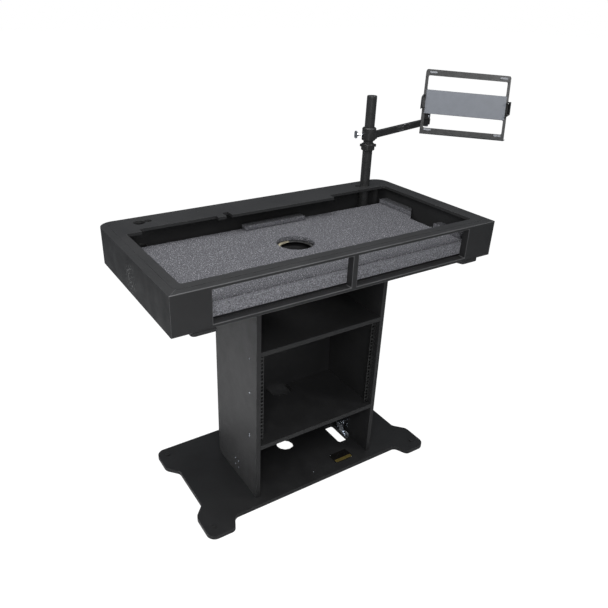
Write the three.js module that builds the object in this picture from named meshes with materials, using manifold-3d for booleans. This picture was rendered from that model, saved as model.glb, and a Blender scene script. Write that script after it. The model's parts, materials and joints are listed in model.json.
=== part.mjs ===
// A performer's lectern: a wide shallow equipment tray on a narrow open-fronted pedestal with a
// lobed base plate, and a clamp-on pole whose arm carries a tilting laptop tray.
// Millimetres, +Z up, +X to the right of somebody standing at the open front, which faces -Y.
// The origin is on the floor under the middle of the pedestal.
import * as THREE from "three";
import { mergeVertices } from "three/addons/utils/BufferGeometryUtils.js";
import Module from "manifold-3d";

const wasm = await Module();
wasm.setup();

// ---- Driving dimensions -------------------------------------------------------------------

const GAP = 0.3; // clearance between pieces that touch
const ROUND = 20; // segments in a full turn of a small round piece
const ROUND_FINE = 36; // segments in a full turn of a pole, sleeve or cable hole

const BASE_THICKNESS = 16;
const BASE_HALF_WIDTH = 488; // over the lobes
const BASE_WAIST = 448; // half width between the lobes
const BASE_FRONT = -235; // front of the front lobes
const BASE_APRON = -184; // front edge between the front lobes
const BASE_BACK = 267;
const LOBE_WIDTH = 108;
const LOBE_INNER_FRONT = -70; // where a front lobe meets the waist
const LOBE_INNER_BACK = 110; // where a back lobe meets the waist
const BASE_HOLE = { x: -13, y: 53, radius: 36 };
const BASE_SLOT = { x: 208, y: 4, width: 46, depth: 114, corner: 9 };
const LABEL = { x: 141, y: -124, width: 82, depth: 52, thickness: 1.2 };
const LOBE_BOLT = { x: 451, front: -192, back: 231, radius: 9, height: 3.5 };

const PEDESTAL_WIDTH = 526;
const PEDESTAL_DEPTH = 300;
const PEDESTAL_TOP = 842;
const BOARD = 17; // side panels and shelves
const BACK_BOARD = 12;
const BACK_SETBACK = 6; // back panel behind the side panels' rear edges
const UPPER_SHELF_TOP = 632;
const LOWER_SHELF_TOP = 249;
const SHELF_NOTCH = { x: -8, depth: 62, width: 86 };

const RACK_UNIT = 44.45;
const RACK_UNITS = 8;
const RACK_HOLE_OFFSETS = [6.35, 22.225, 38.1]; // hole centres within one rack unit
const RACK_HOLE_SPACING = 465.1; // between the two columns of holes
const RACK_CLEAR_WIDTH = 450;
const RACK_HOLE = 9.5;
const RAIL_FACE = -132; // the rails' front faces
const RAIL_DEPTH = 32;
const RAIL_SHEET = 2;

const SUPPORT_THICKNESS = 10;
const SUPPORT_HALF_WIDTH = 538;
const SUPPORT_LOBE = 73;
const SUPPORT_FRONT = -288;
const SUPPORT_BACK = 331;
const SUPPORT_APRON = 60; // how far the plate steps back between its lobes

const TRAY_WIDTH = 1188;
const TRAY_DEPTH = 613;
const TRAY_HEIGHT = 123.4;
const TRAY_CENTRE_Y = 21.5;
const TRAY_WALL = 26;
const TRAY_FLOOR = 11;
const BACK_CORNER = 50; // radius of the tray's outer back corners
const FRONT_INNER_CORNER = 22;
const TOP_THICKNESS = 10;
const SEAM = 0.5; // the fine groove round the inset top
const SLOT_OUTER = 473; // outer end of each front slot
const DIVIDER_WIDTH = 20;
const BOARD_CABLE_HOLE = { x: -8, y: 30, radius: 54.5 };
const FOAM_CABLE_HOLE = { x: -16, y: 20, radius: 64 };
const FLOOR_CABLE_HOLE = { x: -12, y: 26, radius: 75 };

const RIM_OPENING = { halfWidth: 539.5, front: -230, corner: 8 };
const BACK_EDGE = {
  corner: 187, // the tab in the left corner
  left: 212,
  tab: 194,
  notch: 232,
  middle: 197,
  right: 228,
};
const BACK_EDGE_X = { corner: -490, tabStart: -217, tabEnd: -186, middleStart: -163, middleEnd: 268 };
const CLEAT = 14; // the batten that carries the back of the top
const LINING = 12; // the boards inside the end walls, which carry the top

const BOARD_TOP = 889; // top of the equipment board inside the tray
const EQUIPMENT_BOARD = 6;
const FOAM_TOP = 908.4;
const FOAM_BAR_TOP = 926.5;
const FOAM_HALF_WIDTH = 554;
const FOAM_FRONT = -258;
const FOAM_STRIP = 18;
const FOAM_STRIP_HALF_WIDTH = 544;
const FOAM_BACK = 226;
const FINGER_GAP = { inner: 500, front: -96, back: 20 };
const SIDE_BAR_WIDTH = 36;
const BACK_BAR = { left: -113, right: 138, depth: 33 };
const FRONT_BAR_INNER = 500;
const FRONT_BAR_END = -226;
const BATTEN = { x: 330, width: 40, front: -210, back: 200 };

const POLE = { x: 474, y: 272.5, radius: 19, bore: 16.5, top: 1316 };
const EMPTY_SOCKET_X = -468;
const POLE_HOLE_RADIUS = 19.8;
const KEYHOLE = { offset: 31, radius: 12.5 };
const SOCKET = { radius: 24, flange: 27, height: 30, floor: 4 };
const COLLAR = { bottom: 1117, height: 24, radius: 26 };
const LINER_WALL = 2.2;
const CLAMP = { bottom: 1154, height: 48, radius: 27, knobAzimuth: 170 };
const KNOB = { radius: 14.5, thickness: 7, stud: 4, reach: 60 };

const ARM = { azimuth: 16.3, z: 1170, height: 25, width: 18, wall: 2, pivot: 435.5, end: 453.5 };
const POST = { width: 24, depth: 24, pinHeight: 50 };
const TRAY_YAW = -34; // the laptop tray's width axis from +X
const TRAY_PITCH = 67.3; // from lying flat
const TRAY_ROLL = -3.7;
const TRAY_OFFSET = new THREE.Vector3(145, 11, 53); // tilt pin to the middle of the laptop tray
const LAPTOP = { width: 354, height: 266, sheet: 2, rail: 12, bar: 25, corner: 9, flange: 7 };
const CENTRE_PLATE_HEIGHT = 98;
const LIP = { height: 15, thickness: 2 };
const PAD = { length: 31, width: 8, thickness: 1.5, x: 147, top: 121, bottom: -115 };
const CLIP = { reach: 5.6, sheet: 1.6, bottom: -30, top: 23, rear: -20, front: 22, tab: 14 };

// Heights that follow from the stack of pieces.
const TRAY_BOTTOM = PEDESTAL_TOP + SUPPORT_THICKNESS + GAP;
const TRAY_TOP = TRAY_BOTTOM + TRAY_HEIGHT;
const FLOOR_TOP = TRAY_BOTTOM + TRAY_FLOOR;
const TOP_BOTTOM = TRAY_TOP - TOP_THICKNESS;
const TRAY_FRONT = TRAY_CENTRE_Y - TRAY_DEPTH / 2;
const TRAY_BACK = TRAY_CENTRE_Y + TRAY_DEPTH / 2;
const INNER_HALF_WIDTH = TRAY_WIDTH / 2 - TRAY_WALL;
const INNER_FRONT = TRAY_FRONT + TRAY_WALL;
const INNER_BACK = TRAY_BACK - TRAY_WALL;
const BAY_HALF_WIDTH = PEDESTAL_WIDTH / 2 - BOARD;
const BACK_PANEL_REAR = PEDESTAL_DEPTH / 2 - BACK_SETBACK;
const BACK_PANEL_FRONT = BACK_PANEL_REAR - BACK_BOARD;

// ---- Materials ----------------------------------------------------------------------------

const finish = (color, roughness, metalness) =>
  new THREE.MeshStandardMaterial({ color, roughness, metalness });

const BLACK_PAINT = finish(0x2b2b2d, 0.6, 0.0);
const BLACK_STEEL = finish(0x222224, 0.45, 0.4);
const GREY_STEEL = finish(0x66686c, 0.5, 0.4);
const BRIGHT_STEEL = finish(0xc4c6c8, 0.3, 0.9);
const FOAM = finish(0x5c5c62, 0.95, 0.0);
const RAW_BOARD = finish(0xb5a888, 0.9, 0.0);
const RUBBER = finish(0x8e9196, 0.8, 0.0);
const BLACK_PLASTIC = finish(0x1c1c1d, 0.5, 0.0);
const LABEL_FILM = finish(0x1d1a14, 0.4, 0.0);

// ---- Geometry helpers ---------------------------------------------------------------------

// A closed three.js geometry as a solid that can be cut and joined.
function solidOf(geometry) {
  const plain = geometry.clone();
  plain.deleteAttribute("normal");
  plain.deleteAttribute("uv");
  const merged = mergeVertices(plain, 1e-4);
  return new wasm.Manifold(
    new wasm.Mesh({
      numProp: 3,
      vertProperties: merged.attributes.position.array,
      triVerts: new Uint32Array(merged.index.array),
    }),
  );
}

// A solid back as a three.js geometry.
function geometryOf(solid) {
  const mesh = solid.getMesh();
  const geometry = new THREE.BufferGeometry();
  geometry.setAttribute("position", new THREE.BufferAttribute(mesh.vertProperties, mesh.numProp));
  geometry.setIndex(new THREE.BufferAttribute(mesh.triVerts, 1));
  geometry.computeVertexNormals();
  return geometry;
}

const cut = (body, ...tools) =>
  geometryOf(tools.reduce((solid, tool) => solid.subtract(solidOf(tool)), solidOf(body)));
const join = (...bodies) =>
  geometryOf(bodies.slice(1).reduce((solid, next) => solid.add(solidOf(next)), solidOf(bodies[0])));
const overlap = (body, tool) => geometryOf(solidOf(body).intersect(solidOf(tool)));

// A box from one corner to the opposite one.
function block(x0, x1, y0, y1, z0, z1) {
  const box = new THREE.BoxGeometry(x1 - x0, y1 - y0, z1 - z0);
  return box.translate((x0 + x1) / 2, (y0 + y1) / 2, (z0 + z1) / 2);
}

// An outline through corners [x, y, radius], anticlockwise, with an arc at each corner.
function outline(corners, path = new THREE.Shape()) {
  corners.forEach(([x, y, radius = 0], i) => {
    const [px, py] = corners.at(i - 1);
    const [nx, ny] = corners[(i + 1) % corners.length];
    const corner = new THREE.Vector2(x, y);
    const back = new THREE.Vector2(px, py).sub(corner).normalize();
    const ahead = new THREE.Vector2(nx, ny).sub(corner).normalize();
    const start = (i === 0 ? path.moveTo : path.lineTo).bind(path);
    if (radius === 0) {
      start(x, y);
      return;
    }
    const half = Math.acos(back.dot(ahead)) / 2;
    const setback = radius / Math.tan(half);
    const entry = corner.clone().addScaledVector(back, setback);
    const exit = corner.clone().addScaledVector(ahead, setback);
    const inward = back.clone().add(ahead).normalize();
    const middle = corner.clone().addScaledVector(inward, radius / Math.sin(half));
    start(entry.x, entry.y);
    const from = Math.atan2(entry.y - middle.y, entry.x - middle.x);
    const to = Math.atan2(exit.y - middle.y, exit.x - middle.x);
    const clockwise = back.x * ahead.y - back.y * ahead.x > 0;
    path.absarc(middle.x, middle.y, radius, from, to, clockwise);
  });
  path.closePath();
  return path;
}

const rectangle = (x0, x1, y0, y1, radius = 0, path = new THREE.Shape()) =>
  outline([[x0, y0, radius], [x1, y0, radius], [x1, y1, radius], [x0, y1, radius]], path);

const roundHole = ({ x, y, radius }) => new THREE.Path().absarc(x, y, radius, 0, 2 * Math.PI);

// A flat plate: an outline with holes, raised from z0 to z1.
function plate(shape, z0, z1, holes = [], curveSegments = 6) {
  shape.holes = holes;
  const geometry = new THREE.ExtrudeGeometry(shape, { depth: z1 - z0, bevelEnabled: false, curveSegments });
  return geometry.translate(0, 0, z0);
}

// An upright round bar.
function bar(radius, z0, z1, x = 0, y = 0, segments = ROUND) {
  const cylinder = new THREE.CylinderGeometry(radius, radius, z1 - z0, segments);
  return cylinder.rotateX(Math.PI / 2).translate(x, y, (z0 + z1) / 2);
}

// A solid turned about Z from a closed profile of [radius, z] points.
function turned(profile, segments = ROUND_FINE) {
  const points = profile.map(([radius, z]) => new THREE.Vector2(radius, z));
  points.push(points[0].clone());
  return new THREE.LatheGeometry(points, segments).rotateX(Math.PI / 2);
}

// An upright tube with small chamfers on its outer edges.
function tube(radius, bore, z0, z1, chamfer = 0.8) {
  return turned([
    [bore, z0],
    [radius - chamfer, z0],
    [radius, z0 + chamfer],
    [radius, z1 - chamfer],
    [radius - chamfer, z1],
    [bore, z1],
  ]);
}

const mirroredX = (corners) => corners.map(([x, ...rest]) => [-x, ...rest]).reverse();

// ---- Assembly -----------------------------------------------------------------------------

const lectern = new THREE.Group();

function add(name, geometry, material, parent = lectern) {
  const mesh = new THREE.Mesh(geometry, material);
  mesh.name = name;
  parent.add(mesh);
  return mesh;
}

function group(parent, x, y, z, turnZ = 0) {
  const frame = new THREE.Group();
  frame.position.set(x, y, z);
  frame.rotation.z = THREE.MathUtils.degToRad(turnZ);
  parent.add(frame);
  return frame;
}

// ---- Base ---------------------------------------------------------------------------------

function baseOutline() {
  const inner = BASE_HALF_WIDTH - LOBE_WIDTH;
  const right = [
    [inner - 12, BASE_APRON, 24],
    [inner + 12, BASE_FRONT, 20],
    [BASE_HALF_WIDTH, BASE_FRONT, 32],
    [BASE_HALF_WIDTH, LOBE_INNER_FRONT - 52, 34],
    [BASE_WAIST, LOBE_INNER_FRONT - 8, 24],
    [BASE_WAIST, LOBE_INNER_BACK + 8, 24],
    [BASE_HALF_WIDTH, LOBE_INNER_BACK + 52, 34],
    [BASE_HALF_WIDTH, BASE_BACK, 32],
  ];
  return outline([...right, ...mirroredX(right)]);
}

function buildBase() {
  const holes = [
    roundHole(BASE_HOLE),
    rectangle(
      BASE_SLOT.x - BASE_SLOT.width / 2,
      BASE_SLOT.x + BASE_SLOT.width / 2,
      BASE_SLOT.y - BASE_SLOT.depth / 2,
      BASE_SLOT.y + BASE_SLOT.depth / 2,
      BASE_SLOT.corner,
      new THREE.Path(),
    ),
  ];
  add("base_plate", plate(baseOutline(), 0, BASE_THICKNESS, holes), BLACK_PAINT);
  const labelZ = BASE_THICKNESS + GAP;
  const label = rectangle(-LABEL.width / 2, LABEL.width / 2, -LABEL.depth / 2, LABEL.depth / 2, 3);
  const labelMesh = add("base_label_plate", plate(label, labelZ, labelZ + LABEL.thickness), LABEL_FILM);
  labelMesh.position.set(LABEL.x, LABEL.y, 0);
  for (const [side, x] of [["left", -LOBE_BOLT.x], ["right", LOBE_BOLT.x]]) {
    for (const [end, y] of [["front", LOBE_BOLT.front], ["back", LOBE_BOLT.back]]) {
      const head = bar(LOBE_BOLT.radius, labelZ, labelZ + LOBE_BOLT.height, x, y);
      add(`${end}_${side}_base_bolt`, head, BLACK_STEEL);
    }
  }
}

// ---- Pedestal -----------------------------------------------------------------------------

function shelf(top) {
  const rear = BACK_PANEL_FRONT - GAP;
  const front = -PEDESTAL_DEPTH / 2;
  const half = BAY_HALF_WIDTH - GAP;
  const left = SHELF_NOTCH.x - SHELF_NOTCH.width / 2;
  const right = SHELF_NOTCH.x + SHELF_NOTCH.width / 2;
  const inner = rear - SHELF_NOTCH.depth;
  const shape = outline([
    [-half, front],
    [half, front],
    [half, rear],
    [right, rear],
    [right, inner, 30],
    [left, inner, 30],
    [left, rear],
    [-half, rear],
  ]);
  return plate(shape, top - BOARD, top);
}

// An angle rail: a drilled front flange and a flange against the side panel.
function rackRail(side) {
  const bottom = (UPPER_SHELF_TOP - BOARD + LOWER_SHELF_TOP - RACK_UNITS * RACK_UNIT) / 2;
  const top = bottom + RACK_UNITS * RACK_UNIT;
  const wall = BAY_HALF_WIDTH - GAP;
  const edge = RACK_CLEAR_WIDTH / 2;
  const column = RACK_HOLE_SPACING / 2;
  const holes = [];
  for (let unit = 0; unit < RACK_UNITS; unit++) {
    for (const offset of RACK_HOLE_OFFSETS) {
      const z = bottom + unit * RACK_UNIT + offset;
      const reach = RACK_HOLE / 2;
      holes.push(rectangle(column - reach, column + reach, z - reach, z + reach, 0, new THREE.Path()));
    }
  }
  const flange = plate(rectangle(edge, wall, bottom, top), -RAIL_SHEET, 0, holes);
  flange.rotateX(Math.PI / 2).translate(0, RAIL_FACE, 0);
  const leg = block(wall - RAIL_SHEET, wall, RAIL_FACE, RAIL_FACE + RAIL_DEPTH, bottom, top);
  const rail = join(flange, leg);
  return side < 0 ? mirrored(rail) : rail;
}

// The left-hand twin of a right-hand solid, with its faces still pointing out.
function mirrored(geometry) {
  const twin = geometry.clone().scale(-1, 1, 1);
  const order = twin.index.array;
  for (let i = 0; i < order.length; i += 3) {
    [order[i], order[i + 1]] = [order[i + 1], order[i]];
  }
  twin.computeVertexNormals();
  return twin;
}

function buildPedestal() {
  const half = PEDESTAL_WIDTH / 2;
  const bottom = BASE_THICKNESS + GAP;
  const depth = PEDESTAL_DEPTH / 2;
  add("left_side_panel", block(-half, -half + BOARD, -depth, depth, bottom, PEDESTAL_TOP), BLACK_PAINT);
  add("right_side_panel", block(half - BOARD, half, -depth, depth, bottom, PEDESTAL_TOP), BLACK_PAINT);
  const inner = BAY_HALF_WIDTH - GAP;
  const back = block(-inner, inner, BACK_PANEL_FRONT, BACK_PANEL_REAR, bottom, PEDESTAL_TOP);
  add("back_panel", back, BLACK_PAINT);
  add("upper_shelf", shelf(UPPER_SHELF_TOP), BLACK_PAINT);
  add("lower_shelf", shelf(LOWER_SHELF_TOP), BLACK_PAINT);
  add("left_rack_rail", rackRail(-1), BLACK_STEEL);
  add("right_rack_rail", rackRail(1), BLACK_STEEL);
}

// ---- Latches that tie the pedestal to the base plate -----------------------------------------

const LATCH = { y: -3, width: 44, plate: 3, bottom: 50, top: 98, lug: 5, pin: 3.2, pivotZ: 84, pivotIn: 13 };
const KEEPER = { depth: 16, length: 86, height: 20, thickness: 3 };
const LEVER = { thickness: 5, length: 62, width: 26 };

function latchBody() {
  const wall = BAY_HALF_WIDTH - GAP;
  const half = LATCH.width / 2;
  const mountingPlate = block(wall - LATCH.plate, wall, -half, half, LATCH.bottom, LATCH.top);
  const lugs = [-half, half - LATCH.lug].map((y) =>
    block(wall - LATCH.pivotIn - 6, wall - 1, y, y + LATCH.lug, LATCH.pivotZ - 8, LATCH.pivotZ + 8),
  );
  const axle = bar(LATCH.pin, 1 - half, half - 1).rotateX(Math.PI / 2);
  axle.translate(wall - LATCH.pivotIn, 0, LATCH.pivotZ);
  return join(mountingPlate, ...lugs, axle);
}

// The lever hangs from the body's axle, in front of the keeper's riser.
function latchLever() {
  const x = BAY_HALF_WIDTH - GAP - LATCH.pivotIn;
  const half = LEVER.width / 2;
  const thick = LEVER.thickness / 2;
  const stem = block(x - thick, x + thick, -half, half, LATCH.pivotZ - LEVER.length, LATCH.pivotZ);
  const barrel = bar(LATCH.pin + 3, -half, half).rotateX(Math.PI / 2).translate(x, 0, LATCH.pivotZ);
  const bore = bar(LATCH.pin + GAP, -half - 1, half + 1).rotateX(Math.PI / 2);
  bore.translate(x, 0, LATCH.pivotZ);
  return cut(join(stem, barrel), bore);
}

function latchKeeper() {
  const wall = BAY_HALF_WIDTH - GAP;
  const half = KEEPER.length / 2;
  const bottom = BASE_THICKNESS + GAP;
  const foot = block(wall - KEEPER.depth, wall, -half, half, bottom, bottom + KEEPER.thickness);
  const riserX = wall - LATCH.pivotIn + LEVER.thickness / 2 + 1;
  const riser = block(riserX, riserX + KEEPER.thickness, -half, half, bottom, bottom + KEEPER.height);
  return join(foot, riser);
}

function buildLatches() {
  for (const [side, twin] of [["left", mirrored], ["right", (geometry) => geometry]]) {
    const frame = group(lectern, 0, LATCH.y, 0);
    add(`${side}_latch_body`, twin(latchBody()), BRIGHT_STEEL, frame);
    add(`${side}_latch_lever`, twin(latchLever()), BRIGHT_STEEL, frame);
    add(`${side}_latch_keeper`, twin(latchKeeper()), BRIGHT_STEEL, frame);
  }
}

// ---- Support plate and tray ---------------------------------------------------------------

function supportOutline() {
  const inner = SUPPORT_HALF_WIDTH - SUPPORT_LOBE;
  const right = [
    [inner - 20, SUPPORT_FRONT + SUPPORT_APRON, 14],
    [inner, SUPPORT_FRONT, 10],
    [SUPPORT_HALF_WIDTH, SUPPORT_FRONT, 12],
    [SUPPORT_HALF_WIDTH, SUPPORT_BACK, 12],
    [inner, SUPPORT_BACK, 10],
    [inner - 20, SUPPORT_BACK - SUPPORT_APRON, 14],
  ];
  return outline([...right, ...mirroredX(right)]);
}

// The space inside the tray's walls, drawn in by an inset.
function innerOutline(inset, path = new THREE.Shape()) {
  const half = INNER_HALF_WIDTH - inset;
  const front = INNER_FRONT + inset;
  const back = INNER_BACK - inset;
  const backCorner = BACK_CORNER - TRAY_WALL;
  const corners = [
    [-half, front, FRONT_INNER_CORNER],
    [half, front, FRONT_INNER_CORNER],
    [half, back, backCorner],
    [-half, back, backCorner],
  ];
  return outline(corners, path);
}

// The whole ring of walls, sharp at the front corners and rounded at the back ones.
function wallRing() {
  const half = TRAY_WIDTH / 2;
  const outer = outline([
    [-half, TRAY_FRONT],
    [half, TRAY_FRONT],
    [half, TRAY_BACK, BACK_CORNER],
    [-half, TRAY_BACK, BACK_CORNER],
  ]);
  return plate(outer, TRAY_BOTTOM, TRAY_TOP, [innerOutline(0, new THREE.Path())], 8);
}

// The wedge of space that holds the front wall, mitred at 45 degrees through the front corners.
function frontWedge(grow) {
  const half = TRAY_WIDTH / 2;
  const reach = TRAY_WALL + FRONT_INNER_CORNER;
  const shape = outline([
    [-half - 10 - grow, TRAY_FRONT - 10],
    [half + 10 + grow, TRAY_FRONT - 10],
    [half - reach + grow, TRAY_FRONT + reach],
    [-half + reach - grow, TRAY_FRONT + reach],
  ]);
  return plate(shape, TRAY_BOTTOM - 10, TRAY_TOP + 10);
}

function frontSlot(x0, x1) {
  return block(x0, x1, TRAY_FRONT - 10, INNER_FRONT + 30, FLOOR_TOP, TOP_BOTTOM);
}

function buildTrayCase() {
  const supportTop = PEDESTAL_TOP + SUPPORT_THICKNESS;
  const support = plate(supportOutline(), PEDESTAL_TOP + GAP, supportTop, [roundHole(FLOOR_CABLE_HOLE)]);
  add("support_plate", support, BLACK_PAINT);
  const floor = plate(innerOutline(GAP), TRAY_BOTTOM, FLOOR_TOP, [roundHole(FLOOR_CABLE_HOLE)], 8);
  add("tray_floor", floor, BLACK_PAINT);
  add("tray_shell", cut(wallRing(), frontWedge(GAP)), BLACK_PAINT);
  const divider = DIVIDER_WIDTH / 2;
  const fascia = cut(
    overlap(wallRing(), frontWedge(0)),
    frontSlot(-SLOT_OUTER, -divider),
    frontSlot(divider, SLOT_OUTER),
  );
  add("front_fascia", fascia, BLACK_PAINT);
}

// The opening in the top: straight at the front and sides, stepped along its back edge.
function topOpening() {
  const half = RIM_OPENING.halfWidth;
  const { corner, left, tab, notch, middle, right } = BACK_EDGE;
  const x = BACK_EDGE_X;
  const corners = [
    [-half, RIM_OPENING.front, RIM_OPENING.corner],
    [half, RIM_OPENING.front, RIM_OPENING.corner],
    [half, right, RIM_OPENING.corner],
    [x.middleEnd, right],
    [x.middleEnd, middle],
    [x.middleStart, middle],
    [x.middleStart, notch],
    [x.tabEnd, notch],
    [x.tabEnd, tab],
    [x.tabStart, tab],
    [x.tabStart, left],
    [x.corner, left],
    [x.corner, corner],
    [-half, corner],
  ];
  return outline(corners, new THREE.Path());
}

// A pole hole with a smaller overlapping hole towards the middle of the lectern.
function keyhole(x) {
  const z0 = TOP_BOTTOM - 5;
  const z1 = TRAY_TOP + 5;
  const large = bar(POLE_HOLE_RADIUS, z0, z1, x, POLE.y, ROUND_FINE);
  const small = bar(KEYHOLE.radius, z0, z1, x - Math.sign(x) * KEYHOLE.offset, POLE.y + 3, ROUND);
  return join(large, small);
}

function buildTop() {
  const top = plate(innerOutline(SEAM), TOP_BOTTOM + GAP, TRAY_TOP, [topOpening()], 8);
  add("top_frame", cut(top, keyhole(EMPTY_SOCKET_X), keyhole(POLE.x)), BLACK_PAINT);
  const wall = INNER_HALF_WIDTH - GAP;
  const front = INNER_FRONT + FRONT_INNER_CORNER + GAP;
  const rear = INNER_BACK - BACK_CORNER + TRAY_WALL - GAP;
  for (const [side, x0, x1] of [["left", -wall, -wall + LINING], ["right", wall - LINING, wall]]) {
    add(`${side}_side_lining`, block(x0, x1, front, rear, FLOOR_TOP + GAP, TOP_BOTTOM), BLACK_PAINT);
  }
  const reach = POLE.x - 60;
  const back = INNER_BACK - GAP;
  const cleat = block(-reach, reach, back - CLEAT, back, TOP_BOTTOM - CLEAT, TOP_BOTTOM);
  add("back_top_cleat", cleat, BLACK_PAINT);
}

// ---- Inside the tray ----------------------------------------------------------------------

// A sheet that fills the tray's floor area, with a finger gap cut into each side.
function sheetOutline(front) {
  const half = FOAM_HALF_WIDTH;
  const { inner, front: near, back: far } = FINGER_GAP;
  const right = [
    [half, front],
    [half, near],
    [inner, near],
    [inner, far],
    [half, far + half - inner],
    [half, FOAM_BACK],
  ];
  return outline([...right, ...mirroredX(right)]);
}

function buildTrayInside() {
  const mountTop = BOARD_TOP - EQUIPMENT_BOARD;
  const matFront = FOAM_FRONT + FOAM_STRIP + GAP;
  const board = plate(sheetOutline(matFront), mountTop, BOARD_TOP, [roundHole(BOARD_CABLE_HOLE)]);
  add("equipment_board", board, RAW_BOARD);
  const mat = plate(sheetOutline(matFront), BOARD_TOP + GAP, FOAM_TOP, [roundHole(FOAM_CABLE_HOLE)], 8);
  add("foam_mat", mat, FOAM);
  const floorZ = FLOOR_TOP + GAP;
  const reach = FOAM_STRIP_HALF_WIDTH;
  const strip = block(-reach, reach, FOAM_FRONT, FOAM_FRONT + FOAM_STRIP, floorZ, FOAM_TOP);
  add("foam_front_strip", strip, FOAM);
  for (const [side, x] of [["left", -BATTEN.x], ["right", BATTEN.x]]) {
    const half = BATTEN.width / 2;
    const batten = block(x - half, x + half, BATTEN.front, BATTEN.back, floorZ, mountTop - GAP);
    add(`${side}_board_batten`, batten, RAW_BOARD);
  }
}

function buildFoamBars() {
  const z0 = FOAM_TOP + GAP;
  const backFront = FOAM_BACK - BACK_BAR.depth;
  const back = block(BACK_BAR.left, BACK_BAR.right, backFront, FOAM_BACK, z0, FOAM_BAR_TOP);
  add("foam_back_bar", back, FOAM);
  const outer = FOAM_HALF_WIDTH;
  const inner = outer - SIDE_BAR_WIDTH;
  const mitre = FINGER_GAP.back + inner - FINGER_GAP.inner;
  const rearBar = [
    [inner, mitre],
    [outer, mitre + SIDE_BAR_WIDTH],
    [outer, FOAM_BACK, 6],
    [inner, FOAM_BACK],
  ];
  const frontBar = [
    [FRONT_BAR_INNER, FRONT_BAR_END],
    [FRONT_BAR_INNER + SIDE_BAR_WIDTH, FRONT_BAR_END],
    [FRONT_BAR_INNER + SIDE_BAR_WIDTH, FINGER_GAP.front, 8],
    [FRONT_BAR_INNER, FINGER_GAP.front],
  ];
  for (const [name, corners] of [["back", rearBar], ["front", frontBar]]) {
    add(`foam_right_${name}_bar`, plate(outline(corners), z0, FOAM_BAR_TOP), FOAM);
    add(`foam_left_${name}_bar`, plate(outline(mirroredX(corners)), z0, FOAM_BAR_TOP), FOAM);
  }
}

// ---- Laptop stand -------------------------------------------------------------------------

function poleSocket(x) {
  const z0 = FLOOR_TOP + GAP;
  const z1 = z0 + SOCKET.height;
  const bore = POLE.radius + 0.6;
  const cup = turned([
    [0, z0],
    [SOCKET.flange, z0],
    [SOCKET.flange, z0 + SOCKET.floor],
    [SOCKET.radius, z0 + SOCKET.floor],
    [SOCKET.radius, z1],
    [bore, z1],
    [bore, z0 + SOCKET.floor],
    [0, z0 + SOCKET.floor],
  ]);
  return cup.translate(x, POLE.y, 0);
}

// The safety collar: a split ring with two ears for its pinch screws.
function collarRing() {
  const { bottom, height, radius } = COLLAR;
  const ring = tube(radius, POLE.radius + GAP, bottom, bottom + height, 1.5);
  const ears = [-radius - 5, radius - 3].map((x) => block(x, x + 8, -6, 6, bottom + 13, bottom + 22));
  const split = block(-1, 1, -radius - 2, 0, bottom - 1, bottom + height + 1);
  const bore = bar(POLE.radius + GAP, bottom - 1, bottom + height + 1, 0, 0, ROUND_FINE);
  return cut(join(ring, ...ears), split, bore);
}

function clampKnob() {
  const { radius, thickness, stud, reach } = KNOB;
  const start = CLAMP.radius - 5;
  const profile = [
    [0, start],
    [stud, start],
    [stud, reach - thickness - 7],
    [6, reach - thickness - 6],
    [6, reach - thickness],
    [radius - 3, reach - thickness],
    [radius, reach - thickness + 2.5],
    [radius, reach - 2],
    [radius - 3, reach],
    [0, reach],
  ];
  const wing = turned(profile, ROUND);
  const flats = [-20, 7].map((y) => block(-20, 20, y, y + 13, reach - thickness, reach + 1));
  return cut(wing, ...flats);
}

function clampSleeve() {
  const { bottom, height, radius } = CLAMP;
  const bore = POLE.radius + GAP + LINER_WALL + GAP;
  const sleeve = tube(radius, bore, bottom, bottom + height, 3);
  const azimuth = THREE.MathUtils.degToRad(CLAMP.knobAzimuth - ARM.azimuth);
  const screwHole = bar(KNOB.stud + GAP, CLAMP.radius - 6, CLAMP.radius + 10, 0, 0);
  screwHole.rotateY(Math.PI / 2).rotateZ(azimuth).translate(0, 0, bottom + height / 2);
  const bossHalf = ARM.width / 2 + 3;
  const boss = block(radius - 5, radius + 14, -bossHalf, bossHalf, ARM.z - 15, ARM.z + 15);
  return cut(join(sleeve, boss), screwHole);
}

// A rectangular tube from the clamp's boss to just past the swivel bolt, shut at its far end.
function armTube() {
  const start = CLAMP.radius + 14 + GAP;
  const halfWidth = ARM.width / 2;
  const halfHeight = ARM.height / 2;
  const outer = block(start, ARM.end, -halfWidth, halfWidth, ARM.z - halfHeight, ARM.z + halfHeight);
  const inner = block(
    start - 1,
    ARM.pivot - 20,
    ARM.wall - halfWidth,
    halfWidth - ARM.wall,
    ARM.z - halfHeight + ARM.wall,
    ARM.z + halfHeight - ARM.wall,
  );
  const boltHole = bar(6 + GAP, ARM.z - 20, ARM.z + 20, ARM.pivot, 0);
  return cut(outer, inner, boltHole);
}

function swivelPost() {
  const z0 = ARM.z + ARM.height / 2 + GAP;
  const pinZ = ARM.z + POST.pinHeight;
  const column = block(-POST.width / 2, POST.width / 2, -POST.depth / 2, POST.depth / 2, z0, pinZ);
  const crown = bar(POST.depth / 2, -POST.width / 2, POST.width / 2).rotateY(Math.PI / 2);
  crown.translate(0, 0, pinZ);
  const pinBore = bar(4 + GAP, -POST.width, POST.width).rotateY(Math.PI / 2).translate(0, 0, pinZ);
  return cut(join(column, crown), pinBore);
}

// The bolt hangs from the post, passes down through the arm and ends in a washer head.
function swivelBolt() {
  const bottom = ARM.z - ARM.height / 2 - GAP;
  const shank = bar(6, bottom - 1, ARM.z + ARM.height / 2);
  const head = bar(10, bottom - 6, bottom);
  return join(shank, head);
}

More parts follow.
